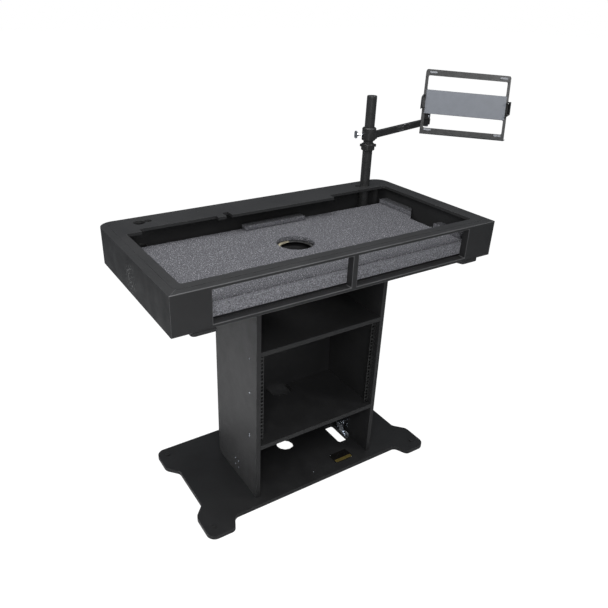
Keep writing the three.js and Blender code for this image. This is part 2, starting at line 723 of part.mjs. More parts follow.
// Two ears on the tilt pin, and a pad that screws to the back of the centre plate.
function tiltBracket() {
  const padFront = TRAY_OFFSET.z - LAPTOP.sheet - 2 * GAP - 3;
  const earInner = POST.width / 2 + GAP;
  const ears = [earInner, -earInner - 4].map((x) => {
    const lug = bar(12, x, x + 4).rotateY(Math.PI / 2);
    const web = block(x, x + 4, -12, 12, 0, padFront);
    return join(lug, web);
  });
  const pad = block(-17, 100, -24, 34, padFront - 3, padFront);
  const pinBore = bar(4 + GAP, -40, 40).rotateY(Math.PI / 2);
  return cut(join(...ears, pad), pinBore);
}

function tiltPin() {
  const half = POST.width / 2 + 6;
  const pin = bar(4, -half, half);
  const heads = [bar(6.5, -half - 4, -half), bar(6.5, half, half + 4)];
  return join(pin, ...heads).rotateY(Math.PI / 2);
}

// The laptop tray's frame in its own plane: X across, Y up the slope, Z towards the user.
function laptopFrame() {
  const halfWidth = LAPTOP.width / 2;
  const halfHeight = LAPTOP.height / 2;
  const { rail, bar: barHeight, corner, sheet, flange } = LAPTOP;
  const outer = outline([
    [-halfWidth, -halfHeight],
    [halfWidth, -halfHeight],
    [halfWidth, halfHeight, corner],
    [-halfWidth, halfHeight, corner],
  ]);
  const middle = CENTRE_PLATE_HEIGHT / 2;
  const windows = [
    [middle, halfHeight - barHeight],
    [barHeight - halfHeight, -middle],
  ].map(([y0, y1]) => rectangle(rail - halfWidth, halfWidth - rail, y0, y1, 6, new THREE.Path()));
  const face = plate(outer, -sheet, 0, windows);
  const sides = [-1, 1].map((side) => {
    const x = side * halfWidth;
    const [x0, x1] = side < 0 ? [x, x + sheet] : [x - sheet, x];
    return block(x0, x1, -halfHeight, halfHeight - corner, -flange, 0);
  });
  const top = block(corner - halfWidth, halfWidth - corner, halfHeight - sheet, halfHeight, -flange, 0);
  const lip = block(-halfWidth, halfWidth, -halfHeight, LIP.thickness - halfHeight, -flange, LIP.height);
  return join(face, ...sides, top, lip);
}

function sidePad(x, y) {
  const half = PAD.length / 2;
  const shape = rectangle(x - half, x + half, y - PAD.width / 2, y + PAD.width / 2, PAD.width / 2 - 0.01);
  return plate(shape, GAP, GAP + PAD.thickness, [], 4);
}

// A side clip: a tongue behind the tray carries a wall along its edge, and the wall's two ends
// fold in over the tray to hold a laptop's sides.
function sideClip(side) {
  const { reach, sheet, bottom, top, rear, front, tab } = CLIP;
  const outer = LAPTOP.width / 2 + reach;
  const back = -LAPTOP.flange - GAP;
  const wallShape = outline([[bottom, rear, 9], [top, rear, 9], [top, front, 2], [bottom, front, 2]]);
  const wall = plate(wallShape, outer - sheet, outer).rotateX(Math.PI / 2).rotateZ(Math.PI / 2);
  const tongue = block(outer - 18, outer - sheet / 2, bottom + 2, top - 2, back - sheet, back);
  const tabs = [bottom, top - sheet].map((y) =>
    block(outer - tab, outer - sheet / 2, y, y + sheet, 3, front - 3),
  );
  const clip = join(wall, tongue, ...tabs);
  return side < 0 ? mirrored(clip) : clip;
}

function buildPole() {
  add("left_pole_socket", poleSocket(EMPTY_SOCKET_X), BLACK_STEEL);
  add("right_pole_socket", poleSocket(POLE.x), BLACK_STEEL);
  const poleFrame = group(lectern, POLE.x, POLE.y, 0);
  const foot = FLOOR_TOP + GAP + SOCKET.floor + GAP;
  add("laptop_pole", tube(POLE.radius, POLE.bore, foot, POLE.top), BLACK_STEEL, poleFrame);
  const cap = turned(
    [
      [0, POLE.top - 16],
      [POLE.bore - GAP, POLE.top - 16],
      [POLE.bore - GAP, POLE.top + GAP],
      [POLE.radius, POLE.top + GAP],
      [POLE.radius - 1.2, POLE.top + 2.6],
      [0, POLE.top + 2.6],
    ],
    ROUND_FINE,
  );
  add("pole_cap", cap, BLACK_PLASTIC, poleFrame);
  const collarFrame = group(poleFrame, 0, 0, 0, -30);
  add("safety_collar", collarRing(), BLACK_STEEL, collarFrame);
}

function buildArm() {
  const armFrame = group(lectern, POLE.x, POLE.y, 0, ARM.azimuth);
  const bore = POLE.radius + GAP;
  const liner = tube(bore + LINER_WALL, bore, CLAMP.bottom, CLAMP.bottom + CLAMP.height, 0.5);
  add("clamp_liner", liner, BLACK_PLASTIC, armFrame);
  add("arm_clamp", clampSleeve(), BLACK_STEEL, armFrame);
  const knob = add("clamp_knob", clampKnob(), BRIGHT_STEEL, armFrame);
  knob.rotation.set(0, Math.PI / 2, THREE.MathUtils.degToRad(CLAMP.knobAzimuth - ARM.azimuth), "ZYX");
  knob.position.z = CLAMP.bottom + CLAMP.height / 2;
  add("laptop_arm", armTube(), BLACK_STEEL, armFrame);
  const pivotFrame = group(armFrame, ARM.pivot, 0, 0, TRAY_YAW - ARM.azimuth);
  add("swivel_post", swivelPost(), BLACK_STEEL, pivotFrame);
  add("swivel_bolt", swivelBolt(), BRIGHT_STEEL, pivotFrame);
  return pivotFrame;
}

function buildLaptopTray(pivotFrame) {
  const tiltFrame = group(pivotFrame, 0, 0, ARM.z + POST.pinHeight);
  tiltFrame.rotation.x = THREE.MathUtils.degToRad(TRAY_PITCH);
  add("tilt_pin", tiltPin(), BRIGHT_STEEL, tiltFrame);
  add("tilt_bracket", tiltBracket(), BLACK_STEEL, tiltFrame);
  const trayFrame = group(tiltFrame, TRAY_OFFSET.x, TRAY_OFFSET.y, TRAY_OFFSET.z, TRAY_ROLL);
  add("laptop_frame", laptopFrame(), BLACK_STEEL, trayFrame);
  const half = LAPTOP.width / 2 - LAPTOP.rail + 3;
  const middle = CENTRE_PLATE_HEIGHT / 2;
  const centre = plate(rectangle(-half, half, -middle, middle, 2), GAP, GAP + 1.5);
  add("laptop_centre_plate", centre, GREY_STEEL, trayFrame);
  for (const [side, x] of [["left", -PAD.x], ["right", PAD.x]]) {
    add(`top_${side}_pad`, sidePad(x, PAD.top), RUBBER, trayFrame);
    add(`bottom_${side}_pad`, sidePad(x, PAD.bottom), RUBBER, trayFrame);
  }
  add("left_side_clip", sideClip(-1), BLACK_STEEL, trayFrame);
  add("right_side_clip", sideClip(1), BLACK_STEEL, trayFrame);
}

buildBase();
buildPedestal();
buildLatches();
buildTrayCase();
buildTop();
buildTrayInside();
buildFoamBars();
buildPole();
buildLaptopTray(buildArm());

export default lectern;
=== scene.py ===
"""The looks of the lectern: materials, small fittings, cut foam, and a plain pale studio.

Metres, +Z up, the open front towards -Y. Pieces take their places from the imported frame's boxes,
with the offsets and the few fixed places that are named at the top of each section.
"""
import json
import math

import bmesh
import bpy
from mathutils import Matrix, Vector, noise


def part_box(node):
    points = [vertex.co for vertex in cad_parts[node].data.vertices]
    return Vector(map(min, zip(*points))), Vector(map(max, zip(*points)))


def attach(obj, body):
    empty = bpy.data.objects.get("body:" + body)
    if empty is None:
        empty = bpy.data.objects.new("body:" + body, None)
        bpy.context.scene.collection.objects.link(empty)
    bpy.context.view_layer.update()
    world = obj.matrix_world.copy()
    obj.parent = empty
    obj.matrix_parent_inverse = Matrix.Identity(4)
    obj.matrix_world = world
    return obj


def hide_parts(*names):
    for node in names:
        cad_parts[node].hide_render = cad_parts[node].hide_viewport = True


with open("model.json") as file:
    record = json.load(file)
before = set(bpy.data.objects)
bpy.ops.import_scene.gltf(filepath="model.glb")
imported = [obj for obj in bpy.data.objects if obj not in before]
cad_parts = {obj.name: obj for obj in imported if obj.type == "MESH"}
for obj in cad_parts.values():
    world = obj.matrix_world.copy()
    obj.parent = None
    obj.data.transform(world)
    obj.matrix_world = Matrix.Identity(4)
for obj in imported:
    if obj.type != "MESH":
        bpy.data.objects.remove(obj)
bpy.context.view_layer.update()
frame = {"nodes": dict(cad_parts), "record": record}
nodes = frame["nodes"]

MM = 0.001
UP = Vector((0, 0, 1))
WHITE = (1, 1, 1, 1)
INWARD = {"left": 1, "right": -1}  # which way along X is inwards from each side

# ---- Camera -------------------------------------------------------------------------------

CAMERA_PLACE = Vector((-1.0700, -1.5653, 1.6461))
CAMERA_TARGET = Vector((-0.0890, 0.0217, 0.6758))
CAMERA_ROLL = math.radians(1.114)
CAMERA_LENS = 35.6
CAMERA_SENSOR = 36.0
CAMERA_SHIFT = (0.0465, 0.0067)


def make_camera():
    """A camera above the left front corner that looks down, turned slightly about its own axis."""
    data = bpy.data.cameras.new("camera")
    data.lens = CAMERA_LENS
    data.sensor_width = CAMERA_SENSOR
    data.shift_x, data.shift_y = CAMERA_SHIFT
    camera = bpy.data.objects.new("camera", data)
    bpy.context.scene.collection.objects.link(camera)
    forward = (CAMERA_TARGET - CAMERA_PLACE).normalized()
    level = forward.cross(UP).normalized()
    upright = level.cross(forward)
    right = math.cos(CAMERA_ROLL) * level + math.sin(CAMERA_ROLL) * upright
    up = -math.sin(CAMERA_ROLL) * level + math.cos(CAMERA_ROLL) * upright
    turn = Matrix((right, up, -forward)).transposed().to_4x4()
    camera.matrix_world = Matrix.Translation(CAMERA_PLACE) @ turn
    bpy.context.scene.camera = camera


make_camera()

# ---- Node materials -----------------------------------------------------------------------

CORE_EDGE = 0.0  # the equipment board's pale core shows to the left of this
CORE_FRAY = 10 * MM  # how far the fibres move that edge
CORE_COLOURS = (0.27, 0.24, 0.17), (0.5, 0.46, 0.34)
SCUFF_REACH = 55 * MM
SCUFF_HEART = 0.3 * SCUFF_REACH  # the chips are at their strongest this near
LEFT_END_SCUFF = (-594 * MM, 15 * MM, 905 * MM)
ARM_SCUFF = (704 * MM, 340 * MM, 1182 * MM)
CHIP_COLOUR = (0.34, 0.34, 0.34)
COATING_TINT = (1.0, 1.0, 1.03)
SPECKLE_GAIN = 1.9  # how much lighter the sprayed speckle is than the coating's light tone
BLACK = (0.0, 0.0, 0.0)


def opaque(colour):
    """A colour with its alpha, from three numbers or one grey."""
    channels = colour if hasattr(colour, "__len__") else (colour, colour, colour)
    return (*channels, 1.0)


def shade(colour, factor):
    """A colour made darker or lighter by a factor."""
    return tuple(factor * channel for channel in colour)


class Finish:
    """A Principled material under construction, with short calls for the usual nodes.

    Texture scales are in features per metre, and bump distances in metres.
    """

    def __init__(self, name, roughness, metallic=0.0, specular=0.5):
        self.material = bpy.data.materials.new(name)
        self.material.use_nodes = True
        self.tree = self.material.node_tree
        self.shader = self.tree.nodes["Principled BSDF"]
        self.shader.inputs["Roughness"].default_value = roughness
        self.shader.inputs["Metallic"].default_value = metallic
        self.shader.inputs["Specular IOR Level"].default_value = specular
        self.place = self.add("ShaderNodeTexCoord").outputs["Object"]

    def add(self, kind, **settings):
        """Adds a node with its settings."""
        node = self.tree.nodes.new(kind)
        for key, value in settings.items():
            setattr(node, key, value)
        return node

    def link(self, source, target):
        self.tree.links.new(source, target)

    def feed(self, socket, value):
        """Gives a socket another node's output, a colour or a number."""
        if isinstance(value, bpy.types.NodeSocket):
            self.link(value, socket)
        elif hasattr(value, "__len__"):
            socket.default_value = opaque(value)
        else:
            socket.default_value = value

    def noise(self, scale, detail=2.0, roughness=0.5, stretch=(1, 1, 1)):
        """Cloudy noise, drawn out along an axis where stretch is below 1."""
        mapping = self.add("ShaderNodeMapping")
        mapping.inputs["Scale"].default_value = stretch
        self.link(self.place, mapping.inputs["Vector"])
        texture = self.add("ShaderNodeTexNoise")
        texture.inputs["Scale"].default_value = scale
        texture.inputs["Detail"].default_value = detail
        texture.inputs["Roughness"].default_value = roughness
        self.link(mapping.outputs["Vector"], texture.inputs["Vector"])
        return texture.outputs["Fac"]

    def cells(self, scale):
        """The distance from the middle of the nearest cell."""
        texture = self.add("ShaderNodeTexVoronoi", feature="F1")
        texture.inputs["Scale"].default_value = scale
        self.link(self.place, texture.inputs["Vector"])
        return texture.outputs["Distance"]

    def fade(self, source, first, second, start=0.3, end=0.7):
        """Goes from a first colour or grey to a second while the source goes from start to end."""
        node = self.add("ShaderNodeValToRGB")
        stops = zip(node.color_ramp.elements, (start, end), (first, second))
        for element, position, colour in stops:
            element.position = position
            element.color = opaque(colour)
        self.link(source, node.inputs["Fac"])
        return node.outputs["Color"]

    def mix(self, factor, first, second):
        """A colour between two colours."""
        node = self.add("ShaderNodeMix", data_type="RGBA")
        for socket, value in (("Factor", factor), ("A", first), ("B", second)):
            self.feed(node.inputs[socket], value)
        return node.outputs["Result"]

    def math(self, operation, first, second=0.0, clamp=False):
        """One sum on two numbers."""
        node = self.add("ShaderNodeMath", operation=operation, use_clamp=clamp)
        self.feed(node.inputs[0], first)
        self.feed(node.inputs[1], second)
        return node.outputs["Value"]

    def along(self, axis, vector):
        """One coordinate of a vector."""
        parts = self.add("ShaderNodeSeparateXYZ")
        self.link(vector, parts.inputs["Vector"])
        return parts.outputs[axis]

    def chipped(self, base, place):
        """A colour with a few pale chips around a place."""
        distance = self.add("ShaderNodeVectorMath", operation="DISTANCE")
        self.link(self.place, distance.inputs[0])
        distance.inputs[1].default_value = place
        near = self.fade(distance.outputs["Value"], 1.0, 0.0, start=SCUFF_HEART, end=SCUFF_REACH)
        chips = self.fade(self.noise(150.0), 0.0, 1.0, start=0.60, end=0.64)
        return self.mix(self.math("MULTIPLY", chips, near), base, CHIP_COLOUR)

    def colour(self, source):
        self.link(source, self.shader.inputs["Base Color"])

    def roughness(self, source):
        self.link(source, self.shader.inputs["Roughness"])

    def bump(self, height, distance, strength):
        node = self.add("ShaderNodeBump")
        node.inputs["Strength"].default_value = strength
        node.inputs["Distance"].default_value = distance
        self.link(height, node.inputs["Height"])
        self.link(node.outputs["Normal"], self.shader.inputs["Normal"])


def coated_board(name, dark, light, scuff=None):
    """Matt black coating with a fine sprayed texture and cloudy handling marks.

    A scuff is a place with a few chips of the coating gone around it.
    """
    finish = Finish(name, roughness=0.5, specular=0.35)
    clouds = finish.noise(7.0, detail=3.0)
    base = finish.fade(clouds, shade(COATING_TINT, dark), shade(COATING_TINT, light), start=0.32)
    speckle = finish.fade(finish.noise(1400.0, detail=1.0), 0.0, 0.3, start=0.45, end=0.75)
    base = finish.mix(speckle, base, shade(COATING_TINT, SPECKLE_GAIN * light))
    finish.colour(finish.chipped(base, scuff) if scuff else base)
    finish.roughness(finish.fade(finish.noise(18.0, detail=4.0), 0.42, 0.6, end=0.75))
    finish.bump(finish.noise(1100.0), distance=0.12 * MM, strength=0.55)
    return finish.material


def powder_coat(name, dark, light, roughness=0.42, scuff=None):
    """Satin powder coat: a fine orange peel over steel, chipped around a scuff."""
    finish = Finish(name, roughness)
    base = finish.fade(finish.noise(35.0, detail=3.0), dark, light, end=0.75)
    finish.colour(finish.chipped(base, scuff) if scuff else base)
    wear = finish.noise(60.0, detail=3.0)
    finish.roughness(finish.fade(wear, roughness - 0.06, roughness + 0.08, end=0.75))
    finish.bump(finish.noise(900.0, detail=1.0), distance=0.06 * MM, strength=0.5)
    return finish.material


def zinc_plate(name):
    """Bright zinc with faint blotches."""
    finish = Finish(name, roughness=0.22, metallic=1.0)
    finish.colour(finish.fade(finish.noise(120.0), (0.50, 0.53, 0.58), (0.78, 0.81, 0.85)))
    finish.roughness(finish.fade(finish.noise(260.0, detail=3.0), 0.16, 0.36, end=0.75))
    return finish.material


def dark_board_pale_left(name):
    """Fibreboard, dark all over except where its pale core shows on the left."""
    finish = Finish(name, roughness=0.85, specular=0.2)
    fibres = finish.noise(260.0, detail=4.0, stretch=(0.25, 1.0, 1.0))
    core = finish.fade(fibres, *CORE_COLOURS)
    dark_face = finish.fade(fibres, 0.03, 0.09)
    fray = finish.math("MULTIPLY", fibres, CORE_FRAY)
    place = finish.math("ADD", finish.along("X", finish.place), fray)
    bare = finish.fade(place, 1.0, 0.0, start=CORE_EDGE, end=CORE_EDGE)
    finish.colour(finish.mix(bare, dark_face, core))
    finish.bump(fibres, distance=0.2 * MM, strength=0.5)
    return finish.material


def cut_foam(name, dark, light, glint, streaks=0.0, top_share=1.0):
    """Charcoal foam with fine open cells and pale glints.

    Upright faces have saw marks as strong as streaks. A face that looks up keeps top_share of its
    colour, the rest darkened as painted shade.
    """
    finish = Finish(name, roughness=0.9, specular=0.15)
    layers = finish.math("ADD", finish.noise(470.0, detail=1.0), finish.noise(250.0, detail=1.0))
    grain = finish.math("MULTIPLY", layers, 0.5)
    base = finish.fade(grain, dark, light, start=0.42, end=0.58)
    glints = finish.fade(finish.cells(300.0), 1.0, 0.0, start=0.20, end=0.42)
    chosen = finish.fade(finish.noise(230.0, detail=0.0), 0.0, 1.0, start=0.54, end=0.60)
    colour = finish.mix(finish.math("MULTIPLY", glints, chosen), base, glint)
    facing_up = finish.along("Z", finish.add("ShaderNodeNewGeometry").outputs["Normal"])
    upright = finish.math("SUBTRACT", 1.0, finish.math("ABSOLUTE", facing_up), clamp=True)
    lines = finish.noise(300.0, detail=3.0, roughness=0.6, stretch=(0.04, 1.0, 1.0))
    saw_marks = finish.fade(lines, streaks, 0.0, start=0.4, end=0.6)
    colour = finish.mix(finish.math("MULTIPLY", upright, saw_marks), colour, shade(dark, 0.5))
    # faces that look up are darkened: painted shade on the tops
    painted_top_shade = finish.math("MULTIPLY", finish.math("MAXIMUM", facing_up, 0.0), 1.0 - top_share)
    finish.colour(finish.mix(painted_top_shade, colour, BLACK))
    finish.bump(grain, distance=1.0 * MM, strength=0.9)
    return finish.material


def plain_plastic(name, colour, roughness):
    """Plastic, rubber or film with a faint mottle."""
    finish = Finish(name, roughness)
    mottle = finish.noise(90.0, detail=3.0)
    finish.colour(finish.fade(mottle, shade(colour, 0.8), shade(colour, 1.15)))
    finish.bump(finish.noise(800.0), distance=0.05 * MM, strength=0.4)
    return finish.material


BOARD_TONES = 0.018, 0.024
STEEL_TONES = 0.014, 0.022

BLACK_BOARD = coated_board("black_board", *BOARD_TONES)
SCUFFED_BOARD = coated_board("scuffed_board", *BOARD_TONES, scuff=LEFT_END_SCUFF)
# a lighter coating for bevel faces: a painted highlight along the board edges
PAINTED_HIGHLIGHT_BOARD = coated_board("painted_highlight_board", dark=0.060, light=0.100)
BLACK_STEEL = powder_coat("black_steel", *STEEL_TONES)
ARM_STEEL = powder_coat("arm_steel", *STEEL_TONES, scuff=ARM_SCUFF)
POLE_STEEL = powder_coat("pole_steel", dark=0.024, light=0.034, roughness=0.30)
FRAME_STEEL = powder_coat("laptop_frame_steel", dark=0.012, light=0.018, roughness=0.4)
# pale grey: a painted highlight on the bevels of the laptop frame and clips, and the pedestal screw
# heads' own grey
HIGHLIGHT_AND_SCREW_GREY = powder_coat(
    "highlight_and_screw_grey",
    dark=(0.14, 0.15, 0.175),
    light=(0.20, 0.215, 0.25),
    roughness=0.4,
)
GREY_STEEL = powder_coat(
    "grey_steel",
    dark=(0.155, 0.168, 0.193),
    light=(0.172, 0.186, 0.213),
    roughness=0.45,
)
ZINC = zinc_plate("zinc_plate")
RAW_BOARD = dark_board_pale_left("dark_board_pale_left")
FOAM = cut_foam(
    "charcoal_foam",
    dark=(0.050, 0.050, 0.056),
    light=(0.150, 0.150, 0.163),
    glint=(0.50, 0.50, 0.53),
)
# the mat's foam made lighter: painted light on the strip's front face, with real saw marks
PAINTED_LIGHT_FOAM_STRIP = cut_foam(
    "sawn_foam_painted_light",
    dark=(0.13, 0.13, 0.142),
    light=(0.31, 0.31, 0.335),
    glint=(0.6, 0.6, 0.64),
    streaks=0.18,
)
# tops darkened: painted shade
FOAM_BAR = cut_foam(
    "foam_painted_top_shade",
    dark=(0.065, 0.065, 0.072),
    light=(0.15, 0.15, 0.163),
    glint=(0.32, 0.32, 0.34),
    top_share=0.35,
)
GREY_PAD = plain_plastic("grey_pad", (0.27, 0.28, 0.30), roughness=0.7)
BLACK_PLASTIC = plain_plastic("black_plastic", (0.018, 0.018, 0.018), roughness=0.4)
LABEL_FILM = plain_plastic("label_film", (0.012, 0.011, 0.010), roughness=0.25)
LABEL_BAND = plain_plastic("label_band", (0.16, 0.12, 0.03), roughness=0.4)

# ---- CAD nodes ----------------------------------------------------------------------------

SLOT_MATERIALS = {
    "black_paint": BLACK_BOARD,
    "black_steel": BLACK_STEEL,
    "grey_steel": GREY_STEEL,
    "zinc_steel": ZINC,
    "foam": FOAM,
    "raw_board": RAW_BOARD,
    "grey_rubber": GREY_PAD,
    "black_plastic": BLACK_PLASTIC,
    "label_film": LABEL_FILM,
}
OWN_MATERIALS = {
    "tray_shell": SCUFFED_BOARD,
    "laptop_pole": POLE_STEEL,
    "laptop_arm": ARM_STEEL,
    "laptop_frame": FRAME_STEEL,
    "left_side_clip": FRAME_STEEL,
    "right_side_clip": FRAME_STEEL,
}
# lighter materials for these nodes' bevel faces: painted highlights along their edges
HIGHLIGHT_EDGE_MATERIALS = {
    "front_fascia": PAINTED_HIGHLIGHT_BOARD,
    "top_frame": PAINTED_HIGHLIGHT_BOARD,
    "base_plate": PAINTED_HIGHLIGHT_BOARD,
    "laptop_frame": HIGHLIGHT_AND_SCREW_GREY,
    "left_side_clip": HIGHLIGHT_AND_SCREW_GREY,
    "right_side_clip": HIGHLIGHT_AND_SCREW_GREY,
}
PLAIN_BEVEL = 1.1 * MM
THIN_BEVEL = 0.3 * MM
RAIL_BEVEL = 0.4 * MM
CLIP_BEVEL = 0.75 * MM
BEVELS = {
    "tray_shell": 2.4 * MM,
    "front_fascia": 2.0 * MM,
    "top_frame": 1.4 * MM,
    "base_plate": 2.0 * MM,
    "support_plate": 1.5 * MM,
    "laptop_frame": 0.9 * MM,
    "laptop_centre_plate": THIN_BEVEL,
    "base_label_plate": THIN_BEVEL,
    "left_rack_rail": RAIL_BEVEL,
    "right_rack_rail": RAIL_BEVEL,
    "top_left_pad": THIN_BEVEL,
    "top_right_pad": THIN_BEVEL,
    "bottom_left_pad": THIN_BEVEL,
    "bottom_right_pad": THIN_BEVEL,
    "left_side_clip": CLIP_BEVEL,
    "right_side_clip": CLIP_BEVEL,
}
BEVEL_ANGLE = math.radians(28)  # edges sharper than this are bevelled
BEVEL_SEGMENTS = 2
WELD_DISTANCE = 0.02 * MM


def dress(target, material):
    """Gives an object one material in place of any others."""
    mesh = target.data
    mesh.materials.clear()
    mesh.materials.append(material)


def soften(node, width, highlight_material=None):
    """Bevels a node's sharp edges by a modifier, in a lighter material as a painted highlight if one
    is given.
    """
    weld = node.modifiers.new("weld", "WELD")
    weld.merge_threshold = WELD_DISTANCE
    bevel = node.modifiers.new("bevel", "BEVEL")
    bevel.width = width
    bevel.segments = BEVEL_SEGMENTS
    bevel.limit_method = "ANGLE"
    bevel.angle_limit = BEVEL_ANGLE
    # the bevel faces take the lighter material, a painted highlight
    if highlight_material:
        node.data.materials.append(highlight_material)
        bevel.material = len(node.data.materials) - 1


def dress_cad_nodes():
    """Gives every CAD node its material and its softened edges."""
    for part in frame["record"]["subparts"]:
        name = part["node"]
        slot_material = SLOT_MATERIALS[part["material_slot"]]
        dress(nodes[name], OWN_MATERIALS.get(name, slot_material))
        soften(nodes[name], BEVELS.get(name, PLAIN_BEVEL), HIGHLIGHT_EDGE_MATERIALS.get(name))


dress_cad_nodes()

# ---- Pieces -------------------------------------------------------------------------------

SHARP_ANGLE = math.radians(35)  # edges sharper than this stay crisp in a smooth piece
WIRE_SIDES = 8
SCREW_PROFILE = (  # shares of the radius: out from the axis, and up from the seat
    (0, -0.2),
    (1, -0.2),
    (1, 0.12),
    (0.75, 0.32),
    (0.4, 0.38),
    (0.34, 0.05),
    (0, 0.05),
)


def piece(name, shape, material, body="lectern"):
    """Turns a bmesh in the row frame into a piece of the object that moves with a body."""
    mesh = bpy.data.meshes.new(name)
    bmesh.ops.recalc_face_normals(shape, faces=shape.faces)
    shape.to_mesh(mesh)
    shape.free()
    made = bpy.data.objects.new(name, mesh)
    bpy.context.scene.collection.objects.link(made)
    dress(made, material)
    mesh.shade_smooth()
    mesh.set_sharp_from_angle(angle=SHARP_ANGLE)
    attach(made, body)


def lathe(shape, profile, place, axis, turns=20):
    """Adds a turned solid, from (radius, height) points that start and end on the axis."""
    turn = UP.rotation_difference(Vector(axis)).to_matrix()
    loops = []
    for radius, height in profile:
        count = turns if radius > 0 else 1
        loop = []
        for step in range(count):
            angle = 2 * math.pi * step / turns
            point = Vector((radius * math.cos(angle), radius * math.sin(angle), height))
            loop.append(shape.verts.new(Vector(place) + turn @ point))
        loops.append(loop)
    for first, second in zip(loops, loops[1:]):
        for step in range(turns):
            after = (step + 1) % turns
            corners = [
                first[step % len(first)],
                first[after % len(first)],
                second[after % len(second)],
                second[step % len(second)],
            ]
            shape.faces.new(list(dict.fromkeys(corners)))


def screw(shape, radius, place, axis, turns):
    """Adds a screw or rivet head: a shallow dome with a round recess."""
    profile = [(out * radius, up * radius) for out, up in SCREW_PROFILE]
    lathe(shape, profile, place, axis, turns)


def stud(shape, radius, tip_radius, shoulder, height, place, axis):
    """Adds a round stud with a chamfered tip."""
    profile = [(0, 0), (radius, 0), (radius, shoulder), (tip_radius, height), (0, height)]
    lathe(shape, profile, place, axis)


def box_solid(shape, low, high):
    """Adds a box from one corner to the opposite one."""
    size = [h - l for l, h in zip(low, high)]
    middle = [(h + l) / 2 for l, h in zip(low, high)]
    place = Matrix.Translation(middle) @ Matrix.Diagonal((*size, 1))
    bmesh.ops.create_cube(shape, size=1, matrix=place)


def wire_ring(shape, middle, across, upright, radius, wire, turns=24):
    """Adds a round wire bent into a ring in the plane of two directions."""
    normal = across.cross(upright).normalized()
    loops = []
    for step in range(turns):
        angle = 2 * math.pi * step / turns
        out = math.cos(angle) * across + math.sin(angle) * upright
        loop = []
        for side in range(WIRE_SIDES):
            turn = 2 * math.pi * side / WIRE_SIDES
            outward = (radius + wire * math.cos(turn)) * out
            loop.append(shape.verts.new(middle + outward + wire * math.sin(turn) * normal))
        loops.append(loop)
    for step, loop in enumerate(loops):
        after = loops[(step + 1) % turns]
        for side in range(WIRE_SIDES):
            beside = (side + 1) % WIRE_SIDES
            shape.faces.new((loop[side], after[side], after[beside], loop[beside]))


# ---- Foam ---------------------------------------------------------------------------------

MAT_VOXEL = 4 * MM
BAR_VOXEL = 3 * MM
STRIP_GAP_BELOW = 5 * MM  # the front strip stands this far above its CAD solid's underside
PEBBLE_DEPTH = 0.5 * MM
PEBBLES_PER_METRE = 160.0
DRIFT_DEPTH = 0.6 * MM
DRIFTS_PER_METRE = 22.0
DRIFT_OFFSET = Vector((7, 3, 1))  # keeps the drift unlike the pebbles


def make_ragged(mesh):
    """Pulls a mesh's points in along their normals: a pebbled surface with slightly wavy sides."""
    moved = []
    for vertex in mesh.vertices:
        pebble = 0.5 + 0.5 * noise.noise(vertex.co * PEBBLES_PER_METRE)
        drift = 0.5 + 0.5 * noise.noise(vertex.co * DRIFTS_PER_METRE + DRIFT_OFFSET)
        sideways = 1.0 - abs(vertex.normal.z)
        depth = PEBBLE_DEPTH * pebble + DRIFT_DEPTH * drift * sideways
        moved.append(vertex.co - vertex.normal * depth)
    for vertex, place in zip(mesh.vertices, moved):
        vertex.co = place


def foam_from(node_name, voxel, material, gap_below=0.0):
    """Stands a finely meshed, slightly ragged copy of a foam node in its place."""
    low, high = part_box(node_name)
    source = nodes[node_name].data.copy()
    squeeze = 1 - gap_below / (high.z - low.z)
    for vertex in source.vertices:
        vertex.co.z = high.z - (high.z - vertex.co.z) * squeeze
    made = bpy.data.objects.new(f"cut_{node_name}", source)
    bpy.context.scene.collection.objects.link(made)
    remesh = made.modifiers.new("remesh", "REMESH")
    remesh.mode = "VOXEL"
    remesh.voxel_size = voxel
    bpy.context.view_layer.update()
    evaluated = made.evaluated_get(bpy.context.evaluated_depsgraph_get())
    finished = bpy.data.meshes.new_from_object(evaluated)
    made.modifiers.clear()
    made.data = finished
    make_ragged(finished)
    finished.shade_smooth()
    dress(made, material)
    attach(made, "lectern")
    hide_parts(node_name)


foam_from("foam_mat", MAT_VOXEL, FOAM)
foam_from("foam_front_strip", BAR_VOXEL, PAINTED_LIGHT_FOAM_STRIP, STRIP_GAP_BELOW)
foam_from("foam_back_bar", BAR_VOXEL, FOAM_BAR)
for side in INWARD:
    foam_from(f"foam_{side}_back_bar", BAR_VOXEL, FOAM_BAR)
    foam_from(f"foam_{side}_front_bar", BAR_VOXEL, FOAM_BAR)

# ---- Screws -------------------------------------------------------------------------------

PANEL_SCREW = 3.4 * MM  # head radii
TOP_SCREW = 3.2 * MM
BASE_SCREW = 2.6 * MM
SCREW_TURNS = 14
PANEL_SCREWS = (47 * MM, 590 * MM), (48 * MM, 454 * MM)  # behind the panel's front edge, and height
SHELF_SCREW_BACK = 50 * MM  # behind the panel's front edge
SHELF_SCREWS_UP = 44 * MM, 35 * MM  # above the lower shelf's underside
LATCH_SCREW_SPREAD = 12 * MM  # either side of the latch's middle
LATCH_SCREW_DOWN = 12 * MM  # below the top of the latch's body
LATCH_SCREW_UP = 7 * MM  # above its foot
TOP_SCREW_SEATS = (-251 * MM, 289 * MM), (218 * MM, 289 * MM), (-151 * MM, 238 * MM)  # x and y
FRONT_BASE_SCREW = (-4 * MM, 92 * MM)  # x, and distance behind the base's front edge
BACK_BASE_SCREWS_X = 120 * MM, -130 * MM
BACK_BASE_SCREWS_IN = 180 * MM  # in front of the base's back edge


def screws(name, radius, places, axis, material):
    """Makes one piece of the screw heads at several places."""
    shape = bmesh.new()
    for place in places:
        screw(shape, radius, place, axis, SCREW_TURNS)
    piece(name, shape, material)


